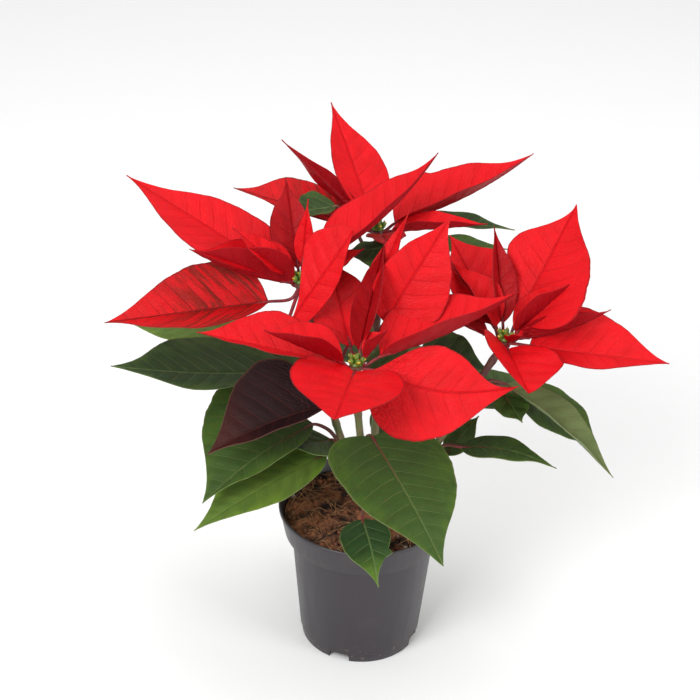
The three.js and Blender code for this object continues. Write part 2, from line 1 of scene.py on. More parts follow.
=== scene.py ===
"""A poinsettia in a 12 cm nursery pot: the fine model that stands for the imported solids.

Lengths are millimetres until a mesh is made. The plant's table repeats the one that the solids
were made from, so every bract and leaf keeps its place and its main shape. Each one gets its veins,
the puckers between them, a waved edge and a raised midrib below.
"""
import math
from types import SimpleNamespace as Named

import bpy
import numpy as np
from mathutils import Matrix, Vector


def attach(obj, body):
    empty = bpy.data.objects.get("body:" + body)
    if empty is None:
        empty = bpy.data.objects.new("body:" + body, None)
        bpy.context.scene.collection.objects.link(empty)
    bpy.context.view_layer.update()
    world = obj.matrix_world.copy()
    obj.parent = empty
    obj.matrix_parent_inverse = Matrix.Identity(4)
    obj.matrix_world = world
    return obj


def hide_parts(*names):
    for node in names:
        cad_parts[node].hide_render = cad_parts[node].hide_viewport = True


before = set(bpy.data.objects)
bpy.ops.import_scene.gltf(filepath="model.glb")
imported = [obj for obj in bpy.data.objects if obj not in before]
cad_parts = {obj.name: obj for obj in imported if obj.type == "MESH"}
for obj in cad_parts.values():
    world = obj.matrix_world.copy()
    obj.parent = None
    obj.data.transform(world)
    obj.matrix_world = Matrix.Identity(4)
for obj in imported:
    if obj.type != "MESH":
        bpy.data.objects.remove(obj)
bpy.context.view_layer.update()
MM = 0.001
BODY = "root"

# ---------- where everything grows
HEADS = {
    "left": (-48, 23, 272),
    "front": (-9, -36, 245),
    "back": (3, 79, 284),
    "right": (90, 0, 246),
}
FORK = (0, 0, 112)
# The way of each shoot between the fork in the trunk and its head.
SHOOTS = {
    "left": [(-4, 1, 125), (-13, 2, 150), (-23, 6, 179), (-40, 16, 248)],
    "front": [(1, -2, 125), (-5, -10, 179), (-8, -20, 215)],
    "back": [(4, 6, 125), (6, 20, 159), (5, 44, 205), (4, 68, 255)],
    "right": [(8, 0, 122), (40, -3, 152), (76, -2, 220)],
}

# A blade is a bract or a leaf, and these are its numbers unless its own line says otherwise. Of two
# values in brackets, the first is for the left half, seen from base to tip.
# start: where the stalk starts, from the heart of the head. stalk: bare length before the blade.
# roll: lean of the face to the right. bow, sway: how far the midrib is up and to the right, halfway
# along. fold: degrees that each half is folded up. sweep: slant of a half towards the tip. lobe: how
# far it reaches back beside the stalk. root, point: the outline, full at the base under 1 and drawn
# out at the tip over 1. shapes: half width, root and point of each half. teeth: the half (-1 left,
# 1 right), the place along the blade and the added width of each.
BLADE_DEFAULTS = dict(
    start=(0, 0, 0), stalk=12, width=40, roll=0, bow=0, sway=0, fold=(10, 10), sweep=(0.15, 0.15),
    lobe=(0, 0), root=0.75, point=1.25, shapes=None, teeth=(), look="bract",
)


def bract(bearing, climb, reach, **more):
    return Named(**BLADE_DEFAULTS | dict(more, bearing=bearing, climb=climb, reach=reach))


def leaf(shoot, height, base, tip, width=40, fold=(5, 5), look="leaf", **more):
    more.update(shoot=shoot, height=height, base=base, tip=tip, width=width, fold=fold, look=look)
    return Named(**BLADE_DEFAULTS | more)


# The bracts of each head: bearing from +X towards +Y and climb above level in degrees, then reach
# from the heart of the head to the tip.
BRACTS = {
    "left": [
        bract(159, 23, 140, stalk=18, fold=(5, 28), shapes=((32, 0.65, 1.15), (26, 0.4, 1.25))),
        bract(184, 44, 63, width=22, roll=-20, fold=(15, 15)),
        bract(-173, 22, 80, stalk=6, width=50, bow=-4, fold=(78, 60), root=0.4, point=1.1),
        bract(
            -172, -6, 126, start=(-6, -3, -9), stalk=16, fold=(12, 44), sweep=(0.15, 0.1),
            shapes=((33, 0.6, 1.1), (33, 0.4, 1.05)), look="bract_turning"),
        bract(
            19, 56, 80, start=(-8, -27, -17), stalk=2, roll=40, fold=(0, 10), sweep=(0, 0),
            shapes=((28, 1.9, 0.4), (14, 0.5, 0.8))),
        bract(83, 62, 58, stalk=14, width=14, fold=(20, 20), point=1.7),
        bract(104, 46, 76, fold=(25, 25), shapes=((19, 0.7, 1.4), (13, 0.75, 1.4)), look="bract_young"),
        bract(25, 22, 50, stalk=14, width=20, fold=(20, 20)),
        bract(26, 39, 128, stalk=28, bow=-7, fold=(20, 85), shapes=((27, 0.35, 1.1), (4, 0.6, 1.2))),
    ],
    "front": [
        bract(174, 9, 107, stalk=26, fold=(28, 24), shapes=((24, 0.6, 1.25), (30, 0.55, 1.25))),
        bract(-173, 27, 68, stalk=10, fold=(62, 45), shapes=((15, 0.6, 1.2), (19, 0.6, 1.2))),
        bract(
            -98, 11, 90, stalk=8, fold=(5, 16), sweep=(0, 0), lobe=(1, 1.2),
            shapes=((36, 0.85, 1), (38, 0.65, 0.65))),
        bract(
            -7, -1, 107, stalk=10, roll=48, sway=9, fold=(5, 5), sweep=(0.15, -0.1),
            shapes=((29, 1.5, 2.2), (37, 0.4, 1))),
        bract(
            37, 51, 119, start=(0, 18, -11), stalk=36, roll=38, fold=(8, 8), sweep=(0.15, 0),
            shapes=((21, 0.4, 1.1), (30, 0.5, 1.2))),
        bract(15, 23, 119, stalk=18, bow=-6, fold=(24, 72), shapes=((34, 0.5, 1.35), (13, 0.6, 1.3))),
        bract(104, 21, 98, stalk=18, width=46, fold=(12, 12), root=0.6),
        bract(76, 40, 92, fold=(40, 65), shapes=((13, 0.6, 1.3), (22, 0.6, 1.3)), look="bract_young"),
        bract(14, 53, 34, stalk=9, width=18, fold=(40, 70)),
        bract(53, 51, 113, start=(-10, 20, -10), stalk=42, width=17, fold=(20, 20), point=1.5),
    ],
    "back": [
        bract(122, 47, 97, fold=(20, 0), sweep=(0.15, 0), shapes=((20, 0.6, 1.1), (24, 0.6, 1.3))),
        bract(155, 35, 92, width=20, roll=75, point=1.4),
        bract(172, 13, 104, stalk=20, width=46, fold=(20, 32), look="bract_turning"),
        bract(
            16, 24, 121, stalk=14, bow=-6, fold=(31, 50), shapes=((28, 0.42, 1.15), (14, 0.6, 1.2)),
            teeth=((-1, 0.26, 0.12),)),
        bract(-14, 14, 79, stalk=10, fold=(35, 80), shapes=((13, 0.6, 1.2), (6, 0.6, 1.2))),
        bract(-78, 18, 55, stalk=10, width=28, fold=(15, 15), look="bract_young"),
    ],
    "right": [
        bract(52, 45, 106, stalk=16, sweep=(0, 0), shapes=((29, 2.2, 2), (43, 0.32, 0.85))),
        bract(
            -7, -2, 110, stalk=17, fold=(30, 0), sweep=(0, 0.15),
            shapes=((34, 0.55, 1.1), (18, 0.6, 1.1))),
        bract(15, 43, 62, stalk=10, width=30, fold=(50, 75), root=0.6),
        bract(6, 19, 74, stalk=10, width=30, bow=-4, fold=(40, 80), root=0.5),
        bract(
            -78, -1, 61, stalk=8, fold=(12, 38), sweep=(0, 0), lobe=(0.3, 1.2),
            shapes=((30, 0.65, 0.5), (22, 0.45, 0.8))),
        bract(99, 47, 80, stalk=14, width=25, fold=(60, 30), root=0.6, point=1.2, look="bract_young"),
        bract(-60, 40, 26, stalk=6, width=14, fold=(30, 30)),
        bract(124, 36, 84, stalk=14, fold=(15, 15), shapes=((24, 0.6, 1.2), (33, 0.5, 1))),
        bract(138, 40, 66, width=36, fold=(50, 40), root=0.6),
        bract(170, 20, 46, width=22, fold=(30, 35), look="bract_young"),
    ],
}
# The green leaves: shoot, the height where the stalk leaves it, the two ends of the blade, width.
LEAVES = {
    "front": leaf(
        "front", 166, (3, -22, 182), (52, -112, 143), 86, bow=4, sweep=(0, -0.3),
        shapes=((41, 0.4, 1), (42, 0.45, 0.85))),
    "young": leaf(
        "front", 123, (-1, -30, 118), (11, -84, 102), bow=5, shapes=((16, 0.5, 1.6), (20, 0.5, 1.1)),
        teeth=((-1, 0.57, 0.45),), look="leaf_young"),
    "left_high": leaf(
        "left", 212, (-58, 8, 212), (-172, -20, 230), bow=-3, shapes=((24, 1.05, 1.25), (42, 0.6, 1.1)),
        look="leaf_dark"),
    "left_pale": leaf(
        "left", 215, (-74, 70, 208), (-178, 75, 209), shapes=((32, 0.6, 1), (14, 0.6, 1.1)),
        look="leaf_pale"),
    "purple": leaf(
        "left", 178, (-24, -20, 206), (-105, -60, 189), bow=5, fold=(10, 45), sweep=(0.15, 0),
        shapes=((14, 0.9, 1), (41, 0.6, 1.05)), look="leaf_purple"),
    "left_mid": leaf(
        "left", 160, (-37, -4, 178), (-108, -68, 155), bow=6, fold=(0, 15), sweep=(0.15, 0.05),
        shapes=((14, 0.7, 1.2), (62, 0.3, 1))),
    "left_low": leaf(
        "left", 140, (-27, -14, 161), (-113, -76, 138), bow=3, shapes=((22, 0.7, 1.2), (30, 0.6, 1.1)),
        look="leaf_pale"),
    "left_inner": leaf("left", 150, (-24, 0, 163), (-54, -26, 174), 54),
    "right_high": leaf(
        "right", 216, (92, -8, 218), (165, -50, 174), bow=5, fold=(30, 40),
        shapes=((16, 0.6, 1.1), (18, 0.6, 1.1)), look="leaf_dusty"),
    "right_behind": leaf(
        "right", 208, (97, 4, 210), (157, -20, 177), shapes=((27, 0.6, 0.7), (20, 0.6, 1.1))),
    "right_small": leaf("right", 200, (90, -12, 214), (103, -34, 205), 26),
    "right_low": leaf("right", 160, (65, -14, 170), (129, -30, 166), 29, bow=6, root=0.5),
    "right_inner": leaf("right", 146, (55, -4, 156), (77, 10, 180), 27),
    "centre": leaf(
        "front", 200, (34, 4, 231), (82, 16, 213), fold=(30, 5), shapes=((26, 0.5, 0.9), (10, 0.6, 1.1)),
        look="leaf_dark"),
    "centre_small": leaf("front", 190, (-2, 0, 218), (29, 14, 232), 30),
    "back_left": leaf(
        "back", 256, (-26, 68, 309), (-54, 61, 307), shapes=((10, 0.6, 1.1), (22, 0.6, 1)),
        look="leaf_dark"),
    "back_front": leaf(
        "back", 236, (16, 60, 284), (-20, 50, 283), shapes=((32, 0.6, 1.1), (10, 0.6, 1.1)),
        look="leaf_dark"),
    "back_right": leaf(
        "back", 264, (27, 92, 284), (99, 94, 281), bow=3, shapes=((16, 0.5, 1.2), (8, 0.6, 1.1)),
        look="leaf_dark"),
    "back_low": leaf("back", 244, (35, 66, 284), (93, 66, 281), 26),
    "rear_left": leaf("left", 190, (-44, 34, 196), (-110, 92, 182), 62, bow=6, fold=(8, 8)),
    "rear_mid": leaf("back", 180, (-4, 56, 190), (-40, 140, 170), 64, bow=6, fold=(8, 8)),
    "rear_right": leaf("back", 165, (22, 44, 176), (76, 120, 158), 66, bow=6, fold=(8, 8)),
    "rear_side": leaf("right", 176, (70, 16, 184), (128, 72, 166), 58, bow=5, fold=(8, 8)),
    "rear_low": leaf("back", 140, (8, 28, 146), (58, 98, 120), 52, bow=5, fold=(8, 8)),
}

# ---------- camera and light
CAMERA_TARGET = Vector((-13.3, 0, 236.3)) * MM
CAMERA_DISTANCE = 1400 * MM
CAMERA_ELEVATION = math.radians(31.8)
CAMERA_ROLL = math.radians(1.88)
CAMERA_LENS = 107.2
CAMERA_SENSOR = 36
# Lamps: place and size in metres, and power in watts. Each one points at LIGHT_AIM.
LIGHTS = {
    "key": ((-0.9, -1.3, 1.5), (1.0, 1.0), 28),
    "fill": ((1.5, -0.9, 0.9), (0.8, 1.2), 12),
    "top": ((0.2, 0.5, 1.9), (1.2, 1.2), 11),
}
LIGHT_AIM = Vector((0, 0, 0.2))
WORLD_STRENGTH = 0.55


def link(name, data):
    """A new object with this data, put in the scene."""
    thing = bpy.data.objects.new(name, data)
    bpy.context.scene.collection.objects.link(thing)
    return thing


def add_camera():
    data = bpy.data.cameras.new("camera")
    data.lens = CAMERA_LENS
    data.sensor_width = CAMERA_SENSOR
    camera = link("camera", data)
    away = Vector((0, -math.cos(CAMERA_ELEVATION), math.sin(CAMERA_ELEVATION)))
    level = Vector((1, 0, 0))
    upward = away.cross(level)
    right = level * math.cos(CAMERA_ROLL) + upward * math.sin(CAMERA_ROLL)
    up = upward * math.cos(CAMERA_ROLL) - level * math.sin(CAMERA_ROLL)
    turn = Matrix((right, up, away)).transposed()
    camera.matrix_world = Matrix.Translation(CAMERA_TARGET + away * CAMERA_DISTANCE) @ turn.to_4x4()
    bpy.context.scene.camera = camera


def add_light(name, at, size, power):
    data = bpy.data.lights.new(name, "AREA")
    data.shape = "RECTANGLE"
    data.size, data.size_y = size
    data.energy = power
    light = link(name, data)
    light.location = at
    light.rotation_euler = (LIGHT_AIM - light.location).to_track_quat("-Z", "Y").to_euler()


def add_world():
    world = bpy.data.worlds.new("world")
    bpy.context.scene.world = world
    world.use_nodes = True
    background = world.node_tree.nodes["Background"]
    background.inputs["Color"].default_value = (1, 1, 1, 1)
    background.inputs["Strength"].default_value = WORLD_STRENGTH


# ---------- material nodes
class Graph:
    """A material's nodes, made one line at a time. Values are sockets, numbers or colours."""

    def __init__(self, name):
        self.material = bpy.data.materials.new(name)
        self.material.use_nodes = True
        self.tree = self.material.node_tree
        self.shader = self.tree.nodes["Principled BSDF"]

    def node(self, kind, inputs=(), **settings):
        node = self.tree.nodes.new(kind)
        for key, value in settings.items():
            setattr(node, key, value)
        for socket, value in dict(inputs).items():
            self.put(node.inputs[socket], value)
        return node

    def put(self, socket, value):
        if isinstance(value, bpy.types.NodeSocket):
            self.tree.links.new(value, socket)
        else:
            socket.default_value = value

    def math(self, operation, a, b=0.0):
        return self.node("ShaderNodeMath", {0: a, 1: b}, operation=operation).outputs[0]

    def plus(self, a, b):
        return self.math("ADD", a, b)

    def minus(self, a, b):
        return self.math("SUBTRACT", a, b)

    def times(self, a, b):
        return self.math("MULTIPLY", a, b)

    def apart(self, a, b):
        """The distance between two numbers."""
        return self.math("ABSOLUTE", self.minus(a, b))

    def step(self, value, low, high, start=0.0, end=1.0):
        """A smooth step: start where value is low or less, end where it is high or more."""
        inputs = {"Value": value, "From Min": low, "From Max": high, "To Min": start, "To Max": end}
        return self.node("ShaderNodeMapRange", inputs, interpolation_type="SMOOTHSTEP").outputs[0]

    def mix(self, factor, a, b):
        node = self.node("ShaderNodeMix", data_type="RGBA")
        for index, value in ((0, factor), (6, a), (7, b)):
            self.put(node.inputs[index], value)
        return node.outputs[2]

    def split(self, vector):
        return self.node("ShaderNodeSeparateXYZ", {0: vector}).outputs

    def attribute(self, name):
        return self.split(self.node("ShaderNodeAttribute", attribute_name=name).outputs["Vector"])

    def position(self):
        return self.node("ShaderNodeTexCoord").outputs["Object"]

    def stretch(self, vector, scale):
        return self.node("ShaderNodeMapping", {"Vector": vector, "Scale": scale}).outputs[0]

    def noise(self, vector, scale, detail=3.0, roughness=0.5):
        inputs = {"Vector": vector, "Scale": scale, "Detail": detail, "Roughness": roughness}
        return self.node("ShaderNodeTexNoise", inputs).outputs[0]

    def patches(self, vector, noise, between):
        """Patches: 0 where this noise is under the first of the two values between, 1 over the second."""
        return self.step(self.noise(vector, *noise), *between)

    def walls(self, vector, scale, width):
        """A net of cells: 1 on their walls, down to 0 at this width inside them."""
        inputs = {"Vector": vector, "Scale": scale}
        cells = self.node("ShaderNodeTexVoronoi", inputs, feature="DISTANCE_TO_EDGE").outputs[0]
        return self.step(cells, 0.0, width, 1, 0)

    def surface(self, colour, roughness, bump=None, depth=0.0, **plain):
        """The finished material. The bump's depth is in metres."""
        self.put(self.shader.inputs["Base Color"], colour)
        self.put(self.shader.inputs["Roughness"], roughness)
        if bump is not None:
            node = self.node("ShaderNodeBump", {"Strength": 1.0, "Distance": depth, "Height": bump})
            self.put(self.shader.inputs["Normal"], node.outputs[0])
        for name, value in plain.items():
            self.shader.inputs[name.replace("_", " ")].default_value = value
        return self.material


def rgb(red, green, blue):
    """A colour as seen on a screen, 0 to 255, as linear values."""
    channels = [value / 255 for value in (red, green, blue)]
    return tuple(c / 12.92 if c < 0.04045 else ((c + 0.055) / 1.055) ** 2.4 for c in channels) + (1,)


# ---------- bract and leaf materials
VEIN_SPACING = 11.0
# Each fade holds two places and the strength at each, as Graph.step takes them. Places are from 0 to 1
# along the blade or from midrib to margin, apart from the first two, in millimetres from the middle
# of the vein, and most_quilted, from the own number of the blade that is quilted most.
FADE = Named(
    side_vein=(0.1, 0.5, 1, 0), midrib=(0.35, 1.0, 1, 0), vein_to_margin=(0.3, 1.0, 1, 0.35),
    vein_to_tip=(0.4, 0.95, 1, 0.45), most_quilted=(0.02, 0.12, 1, 0.15), quilt_to_tip=(0.12, 0.45, 1, 0),
    rim=(0.4, 1.0, 0, 0.75), tip=(0.5, 0.9, 0, 1), stain=(0.3, 0.75, 0.8, 0.1), foot=(0.1, 0.5, 0.8, 0),
    margin=(0.955, 0.995, 0, 0.6),
)
# Each cloud holds a noise's scale per millimetre, its detail and its roughness, then the two values
# between which it becomes a patch.
CLOUD = Named(
    tone=((0.05, 4.0, 0.6), (0.35, 0.7)), rim=((0.07, 3.0, 0.6), (0.35, 0.6)),
    stain=((0.22, 4.0, 0.6), (0.42, 0.62)), gloss=((0.3, 3.0, 0.5), (0.3, 0.7, 0.46, 0.6)),
)
# Each net holds the scale of its cells per millimetre and the width of their walls.
NET = Named(fine=(1.3, 0.12), plain=(0.42, 0.09), quilt=(0.26, 0.28))
# How strongly each pattern shades the colour, and how deep it sinks where a vein sinks by 1.
# The quilt's darkening is painted shade in its sunk folds.
SHADE = Named(tone=0.5, net=0.22, quilt=0.5, net_below=0.4, below=0.6)
SUNK = Named(fine=0.2, plain=0.5, quilt=2.5)
BLADE_BUMP = 0.00022
QUILTED_OWN = 0.16
OWN_SHIFT = 91.0
STREAK = (1, 0.22, 1)


def blade_material(name, veined, **tints):
    """A bract or leaf: side veins and midrib, nets between them, and a duller underside, on bracts partly
    painted shade.

    lit and deep are the tones of the upper side, and margin is its very edge. Some blades have more:
    an uneven brighter rim, another colour towards the tip, dark streaks of a stain, or a red foot to
    the midrib.

    The vertex attribute place holds the vein phase, the distance from the midrib in millimetres and
    a number of the blade's own. The attribute kind holds the place along the blade from 0 to 1, the
    place from midrib to margin from 0 to 1, and 1 on the underside.
    """
    g = Graph(name)
    tint = {part: rgb(*colour) for part, colour in tints.items()}
    phase, away, own = g.attribute("place")
    along, edge, under = g.attribute("kind")
    from_vein = g.times(g.minus(0.5, g.apart(g.math("FRACT", phase), 0.5)), VEIN_SPACING)
    side = g.times(g.step(from_vein, *FADE.side_vein), g.step(edge, *FADE.vein_to_margin))
    side = g.times(side, g.step(along, *FADE.vein_to_tip))
    rib = g.step(away, *FADE.midrib)
    veins = g.math("MAXIMUM", side, rib)
    spread = {0: g.times(phase, VEIN_SPACING), 1: away, 2: g.times(own, OWN_SHIFT)}
    flat = g.node("ShaderNodeCombineXYZ", spread).outputs[0]
    fine, net, quilt = g.walls(flat, *NET.fine), g.walls(flat, *NET.plain), g.walls(flat, *NET.quilt)
    quilted = g.step(g.apart(own, QUILTED_OWN), *FADE.most_quilted)
    quilt = g.times(quilt, g.times(quilted, g.step(along, *FADE.quilt_to_tip)))
    top = g.mix(g.times(g.patches(flat, *CLOUD.tone), SHADE.tone), tint["lit"], tint["deep"])
    top = g.mix(g.times(net, SHADE.net), top, tint["deep"])
    # painted shade: the quilt's sunk folds are darkened towards the deep tone
    top = g.mix(g.times(quilt, SHADE.quilt), top, tint["deep"])
    if "rim" in tint:
        top = g.mix(g.times(g.step(edge, *FADE.rim), g.patches(flat, *CLOUD.rim)), top, tint["rim"])
    if "tip" in tint:
        top = g.mix(g.step(along, *FADE.tip), top, tint["tip"])
    if "stain" in tint:
        streaks = g.patches(g.stretch(flat, STREAK), *CLOUD.stain)
        top = g.mix(g.times(g.step(along, *FADE.stain), streaks), top, tint["stain"])
    top = g.mix(g.times(veins, veined), top, tint["vein"])
    if "foot" in tint:
        top = g.mix(g.times(rib, g.step(along, *FADE.foot)), top, tint["foot"])
    top = g.mix(g.step(edge, *FADE.margin), top, tint["margin"])
    raised = g.math("MAXIMUM", veins, g.times(net, SHADE.net_below))
    bottom = g.mix(g.times(raised, SHADE.below), tint["below"], tint["vein_below"])
    creases = g.plus(g.times(net, SUNK.plain), g.times(fine, SUNK.fine))
    creases = g.plus(creases, g.times(quilt, SUNK.quilt))
    relief = g.minus(0.0, g.plus(veins, creases))
    return g.surface(
        g.mix(under, top, bottom), g.patches(flat, *CLOUD.gloss), relief, BLADE_BUMP,
        Specular_IOR_Level=0.22, Subsurface_Weight=0.12, Subsurface_Scale=0.002)


BLADE_TINTS = {
    # The bracts' below tones are darker than lit: partly their duller back, partly painted shade of the
    # side facing down.
    "bract": dict(
        lit=(222, 2, 18), deep=(190, 1, 10), margin=(120, 2, 12), vein=(160, 3, 12), veined=0.3,
        below=(158, 3, 17), vein_below=(128, 3, 14)),
    # painted shade: a darker copy of the bract, for the bracts that lie in the shade of others
    "bract_young": dict(
        lit=(172, 2, 13), deep=(140, 2, 10), margin=(96, 2, 12), vein=(120, 2, 12), veined=0.3,
        below=(150, 3, 16), vein_below=(120, 3, 14)),
    "bract_turning": dict(
        lit=(214, 10, 20), deep=(150, 10, 16), margin=(96, 2, 12), vein=(84, 20, 16), veined=0.7,
        below=(150, 28, 38), vein_below=(110, 50, 40), stain=(96, 30, 14)),
    "leaf": dict(
        lit=(64, 90, 36), deep=(48, 70, 29), margin=(106, 116, 60), vein=(118, 134, 74), veined=0.42,
        below=(104, 124, 80), vein_below=(140, 150, 100), foot=(116, 56, 44), rim=(76, 106, 34)),
    "leaf_young": dict(
        lit=(48, 76, 36), deep=(38, 60, 30), margin=(124, 142, 72), vein=(118, 140, 84), veined=0.6,
        below=(104, 124, 80), vein_below=(140, 150, 100), tip=(92, 124, 44)),
    "leaf_pale": dict(
        lit=(98, 126, 48), deep=(70, 96, 38), margin=(110, 124, 62), vein=(126, 146, 66), veined=0.35,
        below=(120, 140, 84), vein_below=(150, 160, 100), rim=(118, 152, 46)),
    # painted sheen: a greyer, lighter copy of the leaf, standing in for the sheen of light grazing its
    # face
    "leaf_dusty": dict(
        lit=(108, 122, 74), deep=(86, 102, 58), margin=(92, 90, 56), vein=(128, 132, 92), veined=0.45,
        below=(112, 128, 88), vein_below=(140, 150, 100)),
    # painted shade: a darker copy of the leaf, for the leaves that lie in shade
    "leaf_dark": dict(
        lit=(50, 72, 32), deep=(36, 54, 26), margin=(88, 100, 54), vein=(108, 124, 74), veined=0.55,
        below=(90, 110, 70), vein_below=(130, 140, 94), rim=(72, 98, 38)),
    "leaf_purple": dict(
        lit=(40, 18, 20), deep=(33, 17, 19), margin=(92, 60, 40), vein=(96, 42, 34), veined=0.5,
        below=(96, 50, 56), vein_below=(120, 60, 60), tip=(66, 28, 24)),
}
BLADE_MATERIALS = {name: blade_material(name, **tints) for name, tints in BLADE_TINTS.items()}

# ---------- other materials
# Noise scales are per metre, and heights are metres.
BLOTCH = (0.35, 0.65)
COARSE = (5.0, 0.6)
FINE = Named(ratio=6, noise=(4.0, 0.6), share=0.5)


def plain_material(name, colour, other, roughness, scale, depth=0.0001):
    """Earth, a fibre or a small plant part: two colours through noise, and a bump of that noise."""
    g = Graph(name)
    at = g.position()
    patches = g.noise(at, scale, *COARSE)
    fine = g.noise(at, scale * FINE.ratio, *FINE.noise)
    blend = g.mix(g.step(patches, *BLOTCH), rgb(*colour), rgb(*other))
    return g.surface(blend, roughness, g.plus(patches, g.times(fine, FINE.share)), depth)


BRACT_STALK = plain_material("bract_stalk", (150, 24, 34), (96, 20, 30), 0.45, 300)
LEAF_STALK = plain_material("leaf_stalk", (120, 44, 44), (92, 66, 42), 0.45, 250)
FLOWER_CUP = plain_material("flower_cup", (110, 140, 46), (84, 116, 34), 0.4, 500)
FLOWER_GLAND = plain_material("flower_gland", (214, 190, 44), (190, 168, 40), 0.3, 600)
STAMEN = plain_material("flower_stamen", (150, 30, 26), (190, 60, 30), 0.5, 600)
SOIL = plain_material("soil", (154, 97, 66), (36, 22, 17), 0.95, 95, 0.0006)
FIBRE = plain_material("fibre", (172, 126, 86), (126, 86, 56), 0.85, 300)
GRIT = plain_material("grit", (160, 150, 140), (120, 104, 92), 0.8, 400)

SHOOT_TINTS = dict(
    wood=((84, 62, 44), (60, 42, 30)), fresh=((98, 108, 58), (120, 104, 70)),
    red=((84, 34, 38), (104, 70, 52)),
)
SHOOT_HEIGHTS = Named(wood_to_fresh=(0.115, 0.14), fresh_to_red=(0.195, 0.225))
SHOOT_NOISE = 160


def shoot_material():
    """A young stem: woody at its foot, green along the middle and reddish below the heads."""
    g = Graph("shoot")
    at = g.position()
    height = g.split(at)[2]
    patches = g.noise(at, SHOOT_NOISE, *COARSE)
    blotch = g.step(patches, *BLOTCH)
    wood, fresh, red = (g.mix(blotch, rgb(*one), rgb(*other)) for one, other in SHOOT_TINTS.values())
    colour = g.mix(g.step(height, *SHOOT_HEIGHTS.fresh_to_red), fresh, red)
    colour = g.mix(g.step(height, *SHOOT_HEIGHTS.wood_to_fresh), wood, colour)
    return g.surface(colour, 0.5, patches, 0.0001)


PLASTIC = Named(
    colour=(48, 43, 48), dust=(78, 70, 70), speck=(140, 112, 94), grain=(900, 2.0),
    dusty=((40, 5.0, 0.65), (0.55, 0.75)), dust_share=0.35, dust_roughness=0.12,
    line_stretch=(1, 1, 0.06), line_roughness=((220, 3.0), (0.3, 0.7, 0.36, 0.44)),
    specks=((420, 2.0), (0.66, 0.7)), speck_height=(0.006, 0.02, 0.7, 0), bump=0.00003,
)


def pot_material():
    """Dark moulded plastic: a fine grain, faint upright drawing lines, dust, and earth near the foot."""
    g = Graph("pot")
    at = g.position()
    dust = g.patches(at, *PLASTIC.dusty)
    specks = g.patches(at, *PLASTIC.specks)
    low = g.step(g.split(at)[2], *PLASTIC.speck_height)
    colour = g.mix(g.times(dust, PLASTIC.dust_share), rgb(*PLASTIC.colour), rgb(*PLASTIC.dust))
    colour = g.mix(g.times(specks, low), colour, rgb(*PLASTIC.speck))
    lines = g.patches(g.stretch(at, PLASTIC.line_stretch), *PLASTIC.line_roughness)
    rough = g.plus(lines, g.times(dust, PLASTIC.dust_roughness))
    grain = g.noise(at, *PLASTIC.grain)
    return g.surface(colour, rough, grain, PLASTIC.bump, Specular_IOR_Level=0.5)


SHOOT_BARK = shoot_material()
POT_PLASTIC = pot_material()


# ---------- meshes
class Builder:
    """Collects parts of one object: points in millimetres, faces, and the two vertex attributes."""

    def __init__(self):
        self.points, self.faces, self.place, self.kind, self.slots = [], [], [], [], []
        self.count = 0

    def add(self, points, faces, slot=0, place=None, kind=None):
        points = np.asarray(points, float).reshape(-1, 3)
        blank = np.zeros_like(points)
        self.points.append(points)
        self.place.append(blank if place is None else place.reshape(-1, 3))
        self.kind.append(blank if kind is None else kind.reshape(-1, 3))
        self.faces += [[corner + self.count for corner in face] for face in faces]
        self.slots += [slot] * len(faces)
        self.count += len(points)

    def mesh(self, name):
        mesh = bpy.data.meshes.new(name)
        mesh.from_pydata((np.vstack(self.points) * MM).tolist(), [], self.faces)
        return mesh

    def finish(self, name, materials, nodes, sharp=40):
        """The piece that stands for these CAD nodes. Edges that turn more than sharp degrees stay hard."""
        mesh = self.mesh(name)
        for material in materials:
            mesh.materials.append(material)
        mesh.polygons.foreach_set("material_index", self.slots)
        for label, rows in (("place", self.place), ("kind", self.kind)):
            data = mesh.attributes.new(label, "FLOAT_VECTOR", "POINT").data
            data.foreach_set("vector", np.vstack(rows).astype(np.float32).ravel())
        mesh.shade_smooth()
        mesh.set_sharp_from_angle(angle=math.radians(sharp))
        piece = link(name, mesh)
        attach(piece, BODY)
        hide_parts(*nodes)
        return piece


UP = np.array([0, 0, 1.0])
NEARLY_UPRIGHT = 0.1


def unit(vector):
    return vector / np.linalg.norm(vector)


def heading(bearing, climb):
    """The direction at this bearing from +X towards +Y and this climb above level, in degrees."""
    bearing, climb = math.radians(bearing), math.radians(climb)
    level = math.cos(climb)
    return np.array([level * math.cos(bearing), level * math.sin(bearing), math.sin(climb)])


def spline(points, steps):
    """A smooth path through the points, evenly stepped within each stretch."""
    points = np.asarray(points, float)
    knots = np.concatenate([[0], np.cumsum(np.sqrt(np.linalg.norm(np.diff(points, axis=0), axis=1)))])
    slopes = np.gradient(points, knots, axis=0)
    path = []
    for i in range(len(points) - 1):
        width = knots[i + 1] - knots[i]
        for u in np.linspace(0, 1, steps, endpoint=False):
            path.append(
                (2 * u**3 - 3 * u**2 + 1) * points[i] + (u**3 - 2 * u**2 + u) * width * slopes[i]
                + (3 * u**2 - 2 * u**3) * points[i + 1] + (u**3 - u**2) * width * slopes[i + 1])
    path.append(points[-1])
    return np.array(path)


def ring_quads(rings, sides, first=0):
    """Quads that join rings of points, each with this many points, from the point numbered first."""
    quads = []
    for i in range(rings - 1):
        for j in range(sides):
            a, b = first + i * sides + j, first + i * sides + (j + 1) % sides
            quads.append((a, b, b + sides, a + sides))
    return quads


